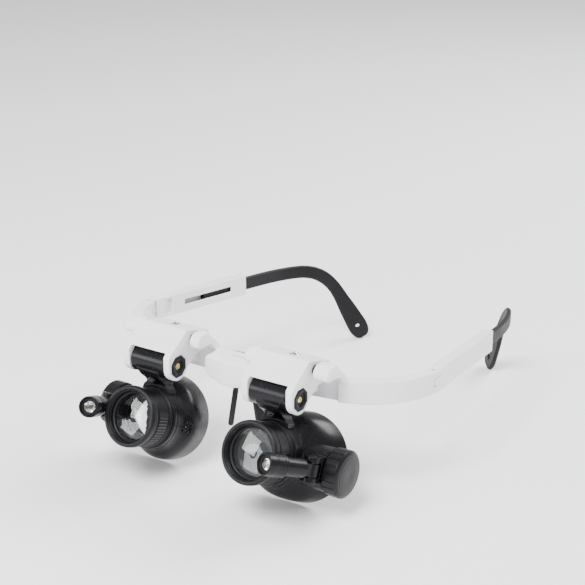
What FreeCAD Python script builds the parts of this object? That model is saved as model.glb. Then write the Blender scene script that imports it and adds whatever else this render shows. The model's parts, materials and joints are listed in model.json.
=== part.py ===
import FreeCAD, Part

# Head visor magnifier: two tilting loupes with lamps on a spectacle frame.
# The wearer looks along -Y, +Z is up and the wearer's left is +X.  The origin is the centre of the
# footprint: the object stands on its two eyecup rims and on the tips of its two temple arms.

import math
import os

import Sketcher

V = FreeCAD.Vector
SIDES = (("left", 1), ("right", -1))

DIMENSIONS = {
    # placing of the main axes
    "axis_back": -81.0,         # tilt axis, measured from the middle of the footprint along Y
    "axis_height": 53.5,        # tilt axis above the table
    "eye_half": 32.0,           # each loupe from the middle plane
    "loupe_drop": 25.7,         # optical axis below the tilt axis
    "loupe_pitch": 23.0,        # optical axis above the horizontal
    # bar of the front frame
    "bar_bottom": 46.3,
    "bar_height": 10.5,
    "wall_middle": 20.0,        # middle of the bar's wall, behind the tilt axis
    "wall_half": 2.5,
    "recess_depth": 1.5,
    "bridge_half": 12.5,
    "bridge_front": 10.0,
    "bridge_drop": 1.6,
    "bridge_side_rise": 3.4,
    "recess_end": 50.5,
    "sweep_start": 33.9,
    "sweep_gentle_radius": 60.0,
    "sweep_gentle_turn": 24.0,
    "sweep_tight_radius": 34.0,
    "sweep_end_turn": 78.0,
    # lugs and rods
    "lug_inner_low": 12.0,
    "lug_inner_high": 17.6,
    "lug_outer_low": 46.6,
    "lug_outer_high": 54.5,
    "lug_front": 5.5,
    "lug_bottom": 60.3,
    "lug_top": 67.3,
    "rod_back": 10.6,
    "rod_height": 63.3,
    "rod_radius": 2.0,
    "rod_socket": 3.0,
    "running_gap": 0.05,
    # carriage
    "carriage_half": 12.9,
    "ear_thick": 3.3,
    "ear_radius": 6.5,
    "carriage_lip_front": 4.2,
    "carriage_lip_height": 61.2,
    "carriage_ridge_back": 6.5,
    "carriage_ridge_height": 68.5,
    "carriage_rear": 22.2,
    "carriage_rear_height": 64.0,
    "screw_back": 14.5,
    "screw_radius": 2.3,
    "screw_shank_radius": 1.5,
    "screw_seat": 64.9,
    "screw_top": 66.8,
    # hinge barrel and its neck
    "barrel_radius": 6.2,
    "side_gap": 0.3,
    "tilt_pin_radius": 1.5,
    "cap_across": 9.6,
    "cap_thick": 1.6,
    "neck_half": 5.2,
    "neck_front": 1.6,
    "neck_back": -10.6,
    # loupe, along its optical axis from the foot of the neck, positive to the front
    "body_radius": 14.0,
    "body_wall": 1.6,
    "body_front": -4.4,
    "body_back": -12.0,
    "cup_radius": 19.9,
    "cup_depth": 30.3,
    "cup_wall": 1.4,
    "cup_saddle": 2.0,
    "cup_shift": 5.2,
    "vent_radius": 0.6,
    "cell_front": 10.6,
    "cell_radius": 13.6,
    "cell_bore": 11.2,
    "grip_radius": 13.2,
    "glass_radius": 11.0,
    "front_lens_seat": 5.0,
    "rear_lens_seat": -8.8,
    # battery tube and lamp
    "tube_back": 18.0,
    "tube_radius": 9.6,
    "tube_spigot_radius": 9.0,
    "tube_bore_radius": 8.1,
    "tube_floor": 21.0,
    "tube_end": 25.0,
    "battery_cap_radius": 10.4,
    "battery_cap_length": 7.9,
    "battery_cap_gap": 0.5,
    "coin_cell_radius": 8.0,
    "coin_cell_thick": 1.6,
    "lamp_pivot_out": 23.2,
    "lamp_pivot_front": -3.0,
    "lamp_pin_radius": 1.0,
    "lamp_reach": 25.0,
    "lamp_turn": 20.1,
    "lamp_head_radius": 4.7,
    "left_tube_level": -1.0,    # middle of the tube above the optical axis
    "right_tube_level": 0.3,
    # temples
    "hinge_half": 78.5,
    "hinge_back": 52.7,
    "hinge_pin_radius": 1.0,
    "knuckle_radius": 2.5,
    "knuckle_gap": 0.6,
    "web_inner": 0.9,
    "leaf_height": 3.3,
    "sleeve_turn": 6.0,
    "sleeve_slope": 4.3,
    "sleeve_length": 68.0,
    "sleeve_height": 10.5,
    "sleeve_half": 2.5,
    "sleeve_skin": 1.0,         # from the sleeve's middle to the floor of its recesses
    "slit_start": 6.0,
    "slit_length": 1.2,
    "slit_half": 3.2,
    "slit_depth": 1.2,
    "window_start": 8.6,
    "window_length": 5.0,
    "window_half": 3.9,
    "window_depth": 2.0,
    "slot_start": 22.0,
    "slot_length": 34.5,
    "slot_half": 1.35,
    "cavity_start": 18.0,
    "cavity_height": 8.2,
    "cavity_thick": 3.3,
    "arm_start": 37.0,
    "arm_height": 7.1,
    "arm_thick": 2.5,
    "arm_curve_length": 102.5,
    "arm_tip_height": 10.6,
    "arm_turn_start": 4.6,
    "arm_turn_length": 83.2,
    "arm_tip_turn": 47.9,
    "arm_dip_start": 37.6,
    "arm_dip_length": 38.3,
    "arm_tip_slope": 61.0,
    "cord_hole_radius": 1.25,
    "cord_hole_inset": 7.5,
}


# ---------------------------------------------------------------- sizes that carry their expression
class Size:
    """A number together with the expression that gives it from the sheet."""

    def __init__(self, value, text):
        self.value = float(value)
        self.text = text

    def __add__(self, other):
        other = size(other)
        return Size(self.value + other.value, f"({self.text} + {other.text})")

    def __sub__(self, other):
        other = size(other)
        return Size(self.value - other.value, f"({self.text} - {other.text})")

    def __mul__(self, other):
        other = size(other)
        return Size(self.value * other.value, f"({self.text} * {other.text})")

    def __truediv__(self, other):
        other = size(other)
        return Size(self.value / other.value, f"({self.text} / {other.text})")

    def __neg__(self):
        return Size(-self.value, f"(-1 * {self.text})")

    __radd__ = __add__
    __rmul__ = __mul__

    def __rsub__(self, other):
        return size(other) - self


def size(number):
    """A Size as it is, or a plain number as a Size."""
    if isinstance(number, Size):
        return number
    return Size(number, f"({number!r})")


def sine(angle):
    angle = size(angle)
    return Size(math.sin(math.radians(angle.value)), f"sin({angle.text} * 1 deg)")


def cosine(angle):
    angle = size(angle)
    return Size(math.cos(math.radians(angle.value)), f"cos({angle.text} * 1 deg)")


class Sheet:
    """The spreadsheet of driving dimensions, read as attributes."""

    def __init__(self, document, numbers):
        self.cells = document.addObject("Spreadsheet::Sheet", "Dimensions")
        for row, (alias, number) in enumerate(numbers.items(), start=1):
            self.cells.set(f"A{row}", alias)
            self.cells.set(f"B{row}", repr(number))
            self.cells.setAlias(f"B{row}", alias)
        document.recompute()

    def __getattr__(self, alias):
        return Size(self.cells.get(alias), f"Dimensions.{alias}")


doc = FreeCAD.newDocument("HeadMagnifier")
dim = Sheet(doc, DIMENSIONS)
nodes = []

bar_top = dim.bar_bottom + dim.bar_height
loupe_back = dim.axis_back - dim.loupe_drop * sine(dim.loupe_pitch)
loupe_height = dim.axis_height - dim.loupe_drop * cosine(dim.loupe_pitch)
wall_front = dim.wall_middle - dim.wall_half + dim.recess_depth
tube_face = dim.tube_end + dim.battery_cap_gap


# ---------------------------------------------------------------- modelling helpers
def bind(thing, **sizes):
    """Give properties their values, each by its expression."""
    for name, amount in sizes.items():
        thing.setExpression(name, size(amount).text)


def place(thing, x=0, y=0, z=0, axis=None, angle=0):
    """Place a thing by expressions, turned by angle about axis."""
    if axis is not None:
        thing.Placement = FreeCAD.Placement(V(), FreeCAD.Rotation(axis, size(angle).value))
        thing.setExpression(".Placement.Rotation.Angle", f"{size(angle).text} * 1 deg")
    for letter, amount in zip("xyz", (x, y, z)):
        thing.setExpression(f".Placement.Base.{letter}", size(amount).text)
    return thing


def keep(thing, label):
    """Name a finished sub-part as a node."""
    thing.Label = label
    nodes.append(thing)
    return thing


def on_frame(thing):
    """Place a thing that was drawn from the tilt axis's own height line."""
    return place(thing, y=dim.axis_back)


def on_loupe(thing, side):
    """Place a thing that was drawn in the loupe's frame: x outward, y up, z along the optical axis."""
    return place(thing, side * dim.eye_half, loupe_back, loupe_height, V(1, 0, 0), 90 - dim.loupe_pitch)


def on_temple(thing, side):
    """Place a thing that was drawn from the temple hinge: y along the sleeve, z from its middle."""
    middle = dim.bar_bottom + dim.bar_height / 2
    back = dim.axis_back + dim.hinge_back
    return place(thing, side * dim.hinge_half, back, middle, V(0, 0, 1), side * dim.sleeve_turn)


def origin_plane(body, role):
    for feature in body.Origin.OriginFeatures:
        if feature.Role == role:
            return feature
    raise ValueError(role)


def arc_middle(start, end, radius):
    """The middle point of an arc; a positive radius has its centre to the left of the travel."""
    chord = end - start
    left = V(-chord.y, chord.x, 0).normalize()
    turn = 1 if radius > 0 else -1
    rise = math.sqrt(max(radius * radius - chord.Length ** 2 / 4, 0))
    return (start + end) * 0.5 + left * (turn * rise) - left * radius


def new_sketch(body, plane, offset):
    """An empty sketch on one of the body's own planes, moved along the plane's normal."""
    sketch = body.newObject("Sketcher::SketchObject", "Sketch")
    sketch.AttachmentSupport = (origin_plane(body, plane), "")
    sketch.MapMode = "FlatFace"
    sketch.setExpression(".AttachmentOffset.Base.z", size(offset).text)
    return sketch


def tie(sketch, amount, kind, *places):
    """A dimension of the sketch, bound to its expression."""
    amount = size(amount)
    made = sketch.addConstraint(Sketcher.Constraint(kind, *places, amount.value))
    sketch.setExpression(f"Constraints[{made}]", amount.text)


def draw_circle(body, plane, spec, offset):
    sketch = new_sketch(body, plane, offset)
    centre = V(spec["x"].value, spec["y"].value, 0)
    sketch.addGeometry(Part.Circle(centre, V(0, 0, 1), spec["radius"].value), False)
    tie(sketch, spec["x"], "DistanceX", -1, 1, 0, 3)
    tie(sketch, spec["y"], "DistanceY", -1, 1, 0, 3)
    tie(sketch, spec["radius"], "Radius", 0)
    return sketch


def draw(body, plane, corners, offset=0):
    """A closed sketch. Each corner is (x, y), or (x, y, radius) where the edge to it is an arc."""
    if isinstance(corners, dict):
        return draw_circle(body, plane, corners, offset)
    sketch = new_sketch(body, plane, offset)
    points = [V(size(corner[0]).value, size(corner[1]).value, 0) for corner in corners]
    count = len(corners)
    for index in range(count):
        following = (index + 1) % count
        if len(corners[following]) == 3:
            radius = size(corners[following][2])
            middle = arc_middle(points[index], points[following], radius.value)
            sketch.addGeometry(Part.Arc(points[index], middle, points[following]), False)
        else:
            sketch.addGeometry(Part.LineSegment(points[index], points[following]), False)
    starts = []
    for index in range(count):
        flipped = sketch.getPoint(index, 1).distanceToPoint(points[index]) > 1e-6
        starts.append(2 if flipped else 1)
    for index in range(count):
        following = (index + 1) % count
        end = 3 - starts[index]
        sketch.addConstraint(Sketcher.Constraint("Coincident", index, end, following, starts[following]))
    for index, corner in enumerate(corners):
        tie(sketch, corner[0], "DistanceX", -1, 1, index, starts[index])
        tie(sketch, corner[1], "DistanceY", -1, 1, index, starts[index])
        if len(corner) == 3:
            radius = size(corner[2])
            tie(sketch, radius if radius.value > 0 else -radius, "Radius", (index - 1) % count)
    return sketch


def new_body(name):
    return doc.addObject("PartDesign::Body", name)


def pad(body, plane, corners, length, offset=0, both=False):
    """Add material: a profile on a plane of the body, offset along the plane's normal."""
    sketch = draw(body, plane, corners, offset)
    feature = body.newObject("PartDesign::Pad", "Pad")
    feature.Profile = sketch
    feature.Midplane = both
    bind(feature, Length=length)
    return feature


def pocket(body, plane, corners, length, offset=0, both=False, forward=True):
    """Remove material, forward along the plane's normal or to both sides of it."""
    sketch = draw(body, plane, corners, offset)
    feature = body.newObject("PartDesign::Pocket", "Pocket")
    feature.Profile = sketch
    feature.Midplane = both
    feature.Reversed = forward and not both
    bind(feature, Length=length)
    return feature


def revolve(label, corners):
    """A body turned about its own Z axis, from a profile of (radius, height) corners."""
    body = new_body(label)
    sketch = draw(body, "XZ_Plane", corners)
    feature = body.newObject("PartDesign::Revolution", "Revolution")
    feature.Profile = sketch
    feature.ReferenceAxis = (sketch, ["V_Axis"])
    feature.Angle = 360
    return body


def rectangle(low_x, low_y, high_x, high_y):
    return [(low_x, low_y), (high_x, low_y), (high_x, high_y), (low_x, high_y)]


def circle(x, y, radius):
    """A round profile, given to pad, pocket or loft in place of corners."""
    return {"x": size(x), "y": size(y), "radius": size(radius)}


def cylinder(radius, length, x=0, y=0, z=0, axis="z"):
    """A Part cylinder that starts at a point and runs along an axis, or along its opposite (-x)."""
    turns = {"z": None, "x": (V(0, 1, 0), 90), "-x": (V(0, 1, 0), -90), "y": (V(1, 0, 0), -90),
             "-y": (V(1, 0, 0), 90)}
    made = doc.addObject("Part::Cylinder", "Cylinder")
    bind(made, Radius=radius, Height=length)
    turn = turns[axis]
    if turn is None:
        return place(made, x, y, z)
    return place(made, x, y, z, *turn)


def cut(base, tool):
    made = doc.addObject("Part::Cut", "Cut")
    made.Base = base
    made.Tool = tool
    return made


def fuse(*shapes):
    made = doc.addObject("Part::MultiFuse", "Fuse")
    made.Shapes = list(shapes)
    return made


def solid_feature(label, shape):
    """A sub-part whose shape is worked out in code."""
    made = doc.addObject("Part::Feature", label)
    made.Shape = shape
    return made


# ---------------------------------------------------------------- front frame
def sweep_outline(side, low, high):
    """One swept corner as a band between two offsets of its middle line, ending at the hinge pin.

    The middle line leaves the bar straight, bends gently, then tightly, and runs straight to the pin.
    """
    gentle, end = dim.sweep_gentle_turn, dim.sweep_end_turn
    knee_x = dim.sweep_start + dim.sweep_gentle_radius * sine(gentle)
    knee_y = dim.wall_middle + dim.sweep_gentle_radius * (1 - cosine(gentle))
    bend_x = knee_x + dim.sweep_tight_radius * (sine(end) - sine(gentle))
    bend_y = knee_y + dim.sweep_tight_radius * (cosine(gentle) - cosine(end))

    def beside(x, y, heading, offset):
        return side * (x + offset * sine(heading)), y - offset * cosine(heading)

    outer = [
        (side * dim.sweep_start, dim.wall_middle - high),
        (*beside(knee_x, knee_y, gentle, high), side * (dim.sweep_gentle_radius + high)),
        (*beside(bend_x, bend_y, end, high), side * (dim.sweep_tight_radius + high)),
        beside(dim.hinge_half, dim.hinge_back, 90, high),
    ]
    inner = [
        beside(dim.hinge_half, dim.hinge_back, 90, low),
        (*beside(bend_x, bend_y, end, low),),
        (*beside(knee_x, knee_y, gentle, low), -side * (dim.sweep_tight_radius + low)),
        (side * dim.sweep_start, dim.wall_middle - low, -side * (dim.sweep_gentle_radius + low)),
    ]
    return outer, inner


def build_front_frame():
    """The white bar: wall, bridge, four lugs and two swept corners with forked hinge ends."""
    body = new_body("front_frame")
    wall_back = dim.wall_middle + dim.wall_half
    half_wall = dim.wall_half
    knuckle = dim.knuckle_radius
    pad(body, "XY_Plane", rectangle(-dim.sweep_start, wall_front, dim.sweep_start, wall_back),
        dim.bar_height, dim.bar_bottom)
    arch_rise = dim.bridge_side_rise + dim.bridge_drop
    arch_radius = (dim.bridge_half * dim.bridge_half + arch_rise * arch_rise) / (2 * arch_rise)
    bridge_face = [
        (-dim.bridge_half, bar_top),
        (-dim.bridge_half, dim.bar_bottom + dim.bridge_side_rise),
        (dim.bridge_half, dim.bar_bottom + dim.bridge_side_rise, arch_radius),
        (dim.bridge_half, bar_top),
    ]
    pad(body, "XZ_Plane", bridge_face, wall_back - 1 - dim.bridge_front, 1 - wall_back)
    for side in (1, -1):
        outer, inner = sweep_outline(side, -half_wall, half_wall)
        hinge = (side * dim.hinge_half, dim.hinge_back)
        end = [
            (side * (dim.hinge_half + knuckle), dim.hinge_back + knuckle),
            (hinge[0], dim.hinge_back + knuckle),
            (side * (dim.hinge_half - knuckle), dim.hinge_back, side * knuckle),
        ]
        pad(body, "XY_Plane", outer + end + inner[1:], dim.bar_height, dim.bar_bottom)
        recess = [
            (side * (dim.sweep_start - 1), dim.wall_middle - 6),
            (side * dim.recess_end, dim.wall_middle - 6),
            (side * dim.recess_end, wall_front + 2.4),
            (side * (dim.sweep_start - 1), wall_front),
        ]
        pocket(body, "XY_Plane", recess, dim.bar_height + 2, dim.bar_bottom - 1)
        for low, high in ((dim.lug_inner_low, dim.lug_inner_high), (dim.lug_outer_low, dim.lug_outer_high)):
            profile = [
                (dim.lug_front, dim.lug_bottom + 1.5),
                (dim.lug_front, dim.lug_top - 2.6),
                (dim.lug_front + 2.6, dim.lug_top),
                (dim.lug_front + 7.5, dim.lug_top),
                (wall_back - 1.2, bar_top + 2.4),
                (wall_back - 0.6, bar_top - 1),
                (wall_front + 0.4, bar_top - 1),
                (wall_front - 3.6, dim.lug_bottom),
                (dim.lug_front + 1.5, dim.lug_bottom),
            ]
            start = low if side > 0 else -high
            pad(body, "YZ_Plane", profile, high - low, start)
        socket_start = dim.lug_inner_high - dim.rod_socket
        if side < 0:
            socket_start = -(dim.lug_outer_low + dim.rod_socket)
        pocket(body, "YZ_Plane", circle(dim.rod_back, dim.rod_height, dim.rod_radius),
               dim.lug_outer_low - dim.lug_inner_high + 2 * dim.rod_socket, socket_start)
        slot_height = dim.bar_height - 2 * dim.leaf_height
        pocket(body, "XY_Plane", circle(*hinge, knuckle + dim.knuckle_gap), slot_height,
               dim.bar_bottom + dim.leaf_height)
        behind = rectangle(side * (dim.hinge_half - 4), dim.hinge_back, side * (dim.hinge_half + 4),
                           dim.hinge_back + 4)
        pocket(body, "XY_Plane", behind, slot_height, dim.bar_bottom + dim.leaf_height)
        pocket(body, "XY_Plane", circle(*hinge, dim.hinge_pin_radius), dim.bar_height + 2,
               dim.bar_bottom - 1)
    blade = rectangle(-4.1, wall_back - 4.8, 4.1, wall_back - 3.6)
    pocket(body, "XY_Plane", blade, 6.0, bar_top - 5.5)
    web = rectangle(-4.1, wall_back - 4.8, 4.1, wall_back + 1)
    pocket(body, "XY_Plane", web, 1.5, bar_top - 5.5)
    return on_frame(keep(body, "front_frame"))


def build_rods():
    """The black rod that each carriage slides on, held in the lugs."""
    for name, side in SIDES:
        start = dim.lug_inner_high - dim.rod_socket
        length = dim.lug_outer_low - dim.lug_inner_high + 2 * dim.rod_socket
        rod = cylinder(dim.rod_radius, length, side * start, dim.axis_back + dim.rod_back,
                       dim.rod_height, "x" if side > 0 else "-x")
        keep(rod, f"{name}_slide_rod")


def rod_between(start, end, radius):
    return Part.makeCylinder(radius, start.distanceToPoint(end), start, end - start)


def build_nose_piece():
    """A plate behind the bridge with a blade in the slit, two bent stems and two rubber pads."""
    plate_front = dim.wall_middle + dim.wall_half + 0.05
    clip = new_body("nose_clip")
    pad(clip, "XY_Plane", rectangle(-5.6, plate_front, 5.6, plate_front + 1.6), 14.0, bar_top - 14.6)
    pad(clip, "XY_Plane", rectangle(-4.0, plate_front - 4.75, 4.0, plate_front - 3.75), 4.8, bar_top - 5.4)
    pad(clip, "XY_Plane", rectangle(-4.0, plate_front - 4.0, 4.0, plate_front + 0.4), 1.3, bar_top - 5.4)
    on_frame(keep(clip, "nose_clip"))
    for name, side in SIDES:
        root = V(side * 3.6, plate_front.value + 0.8, bar_top.value - 14.0)
        elbow = V(side * 5.4, plate_front.value + 2.6, bar_top.value - 18.0)
        tip = V(side * 7.6, plate_front.value + 2.6, bar_top.value - 25.0)
        stem = rod_between(root, elbow, 0.6).fuse([rod_between(elbow, tip, 0.6), Part.makeSphere(0.6, elbow)])
        stem = stem.cut(Part.makeBox(20, 4, 4, V(-10, plate_front.value - 1, bar_top.value - 14.6)))
        on_frame(keep(solid_feature(f"{name}_nose_stem", stem), f"{name}_nose_stem"))
        rubber = Part.makeBox(2.6, 8.0, 19.0, V(-1.3, -4.0, -12.5))
        rubber = rubber.makeFillet(1.2, rubber.Edges)
        splay = FreeCAD.Rotation(V(0, 1, 0), -side * 10) * FreeCAD.Rotation(V(0, 0, 1), -side * 32)
        rubber.Placement = FreeCAD.Placement(tip, splay)
        rubber = rubber.cut(rod_between(elbow, tip, 0.6))
        on_frame(keep(solid_feature(f"{name}_nose_pad", rubber), f"{name}_nose_pad"))


# ---------------------------------------------------------------- carriages
def on_carriage(thing, side):
    return place(thing, side * dim.eye_half, dim.axis_back)


def build_carriage(name, side):
    """A block that slides on the rod, two hinge ears that reach down and forward, and a screw."""
    body = new_body("carriage")
    inside = dim.carriage_half - dim.ear_thick
    underside = dim.axis_height + dim.barrel_radius + 0.4
    seat = bar_top + 0.4
    rear = dim.carriage_rear
    top = [
        (rear, dim.carriage_rear_height),
        (dim.carriage_ridge_back, dim.carriage_ridge_height),
        (-dim.carriage_lip_front, dim.carriage_lip_height),
    ]
    block = [
        (-dim.carriage_lip_front, underside),
        (7.6, underside),
        (9.0, dim.bar_bottom + 4),
        (wall_front - 0.4, dim.bar_bottom + 4),
        (wall_front - 0.4, seat),
        (rear, seat),
    ]
    pad(body, "YZ_Plane", block + top, 2 * inside, -inside)
    ear_rear = dim.ear_radius * cosine(20)
    ear_low = dim.axis_height - dim.ear_radius * sine(20)
    ear = [
        (-dim.ear_radius, dim.axis_height),
        (ear_rear, ear_low, dim.ear_radius),
        (13.4, bar_top - 1.6),
        (wall_front - 0.4, bar_top - 1.6),
        (wall_front - 0.4, seat),
        (rear, seat),
    ]
    front = [(-dim.ear_radius, dim.axis_height + dim.ear_radius * 0.85)]
    for start in (-dim.carriage_half, inside):
        pad(body, "YZ_Plane", ear + top + front, dim.ear_thick, start)
    pocket(body, "YZ_Plane", circle(dim.rod_back, dim.rod_height, dim.rod_radius + dim.running_gap),
           2 * dim.carriage_half + 2, -dim.carriage_half - 1)
    pin = circle(0, dim.axis_height, dim.tilt_pin_radius)
    pocket(body, "YZ_Plane", pin, 2 * inside + dim.ear_thick + 2, -inside - 1.6)
    cap_seat = dim.carriage_half - dim.cap_thick
    pocket(body, "YZ_Plane", eight_sides(dim.cap_across), dim.cap_thick + 1, cap_seat)
    pocket(body, "XY_Plane", circle(0, dim.screw_back, dim.screw_radius), 6, 63.2)
    on_carriage(keep(body, f"{name}_carriage"), side)
    pin_reach = inside + dim.carriage_half
    pin = cylinder(dim.tilt_pin_radius, pin_reach, side * dim.eye_half - inside - 1.6, dim.axis_back,
                   dim.axis_height, "x")
    keep(pin, f"{name}_tilt_pin")
    cap = new_body("hinge_cap")
    pad(cap, "YZ_Plane", eight_sides(dim.cap_across), dim.cap_thick + 0.35, dim.carriage_half - dim.cap_thick)
    pocket(cap, "YZ_Plane", circle(0, dim.axis_height, dim.tilt_pin_radius), 6, dim.carriage_half - 4)
    pocket(cap, "YZ_Plane", circle(0, dim.axis_height, 2.9), 2, dim.carriage_half - 0.6)
    on_carriage(keep(cap, f"{name}_hinge_cap"), side)
    screw_y = dim.axis_back + dim.screw_back
    shank = cylinder(dim.screw_shank_radius, 1.7, side * dim.eye_half, screw_y, dim.screw_seat - 1.65)
    head = cylinder(dim.screw_radius - 0.02, dim.screw_top - dim.screw_seat, side * dim.eye_half, screw_y,
                    dim.screw_seat)
    screw = cut(fuse(shank, head), cross_slot(side))
    keep(screw, f"{name}_carriage_screw")


def eight_sides(across):
    """An octagon round the tilt axis, flat to flat, one flat at the top."""
    half = across / 2
    step = half * (math.sqrt(2) - 1)
    corners = [(half, step), (step, half), (-step, half), (-half, step),
               (-half, -step), (-step, -half), (step, -half), (half, -step)]
    return [(y, dim.axis_height + z) for y, z in corners]


def cross_slot(side):
    """The cutter for a cross-head screw's recess."""
    arms = []
    for length, width in ((2.8, 0.6), (0.6, 2.8)):
        arm = doc.addObject("Part::Box", "Arm")
        bind(arm, Length=length, Width=width, Height=2)
        place(arm, side * dim.eye_half - length / 2, dim.axis_back + dim.screw_back - width / 2, 66.1)
        arms.append(arm)
    return fuse(*arms)


# ---------------------------------------------------------------- loupes
def cup_rings(inset):
    """The eyecup's growing rings: radius, shift to the temple side, place along the axis."""
    radius, shift = dim.cup_radius, dim.cup_shift
    return [
        (dim.body_radius - inset, size(0), dim.body_back),
        (radius * 0.8 - inset, shift * 0.05, dim.body_back - 1.0),
        (radius * 0.88 - inset, shift * 0.16, dim.body_back - 3.0),
        (radius * 0.935 - inset, shift * 0.36, dim.body_back - 6.5),
        (radius * 0.98 - inset, shift * 0.7, dim.body_back - 12.5),
        (radius - inset, shift, -dim.cup_depth),
    ]


def loft(body, kind, side, rings):
    """A smooth loft through circles that stand across the optical axis."""
    sketches = []
    for radius, shift, height in rings:
        sketches.append(draw(body, "XY_Plane", circle(side * shift, 0, radius), height))
    feature = body.newObject(kind, "Loft")
    feature.Profile = sketches[0]
    feature.Sections = sketches[1:]
    return feature


def build_eyecup(name, side):
    """A thin flared cup whose rim dips at the top and the bottom, with a cluster of vent holes."""
    body = new_body("eyecup")
    loft(body, "PartDesign::AdditiveLoft", side, cup_rings(0))
    inner = cup_rings(dim.cup_wall)
    inner[0] = (inner[0][0], inner[0][1], inner[0][2] + 0.01)
    inner[-1] = (inner[-1][0], inner[-1][1], inner[-1][2] - 0.01)
    loft(body, "PartDesign::SubtractiveLoft", side, inner)
    middle = side * dim.cup_shift
    reach = dim.cup_radius + 2
    saddle_radius = (reach * reach + dim.cup_saddle * dim.cup_saddle) / (2 * dim.cup_saddle)
    behind = [
        (middle - reach, -dim.cup_depth - 6),
        (middle + reach, -dim.cup_depth - 6),
        (middle + reach, -dim.cup_depth - 0.6),
        (middle - reach, -dim.cup_depth - 0.6, saddle_radius),
    ]
    pocket(body, "XZ_Plane", behind, 60, both=True)
    for across, up in vent_places():
        pocket(body, "YZ_Plane", circle(up - 0.6, dim.body_back - 3.4 + across, dim.vent_radius), 20,
               -22 if side > 0 else 2)
    return on_loupe(keep(body, f"{name}_eyecup"), side)


def vent_places():
    """One hole in the middle and a ring of seven round it."""
    places = [(0, 0)]
    for step in range(7):
        angle = 2 * math.pi * step / 7
        places.append((round(1.9 * math.cos(angle), 3), round(1.9 * math.sin(angle), 3)))
    return places


def tube_level(side):
    return dim.left_tube_level if side > 0 else dim.right_tube_level


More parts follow.
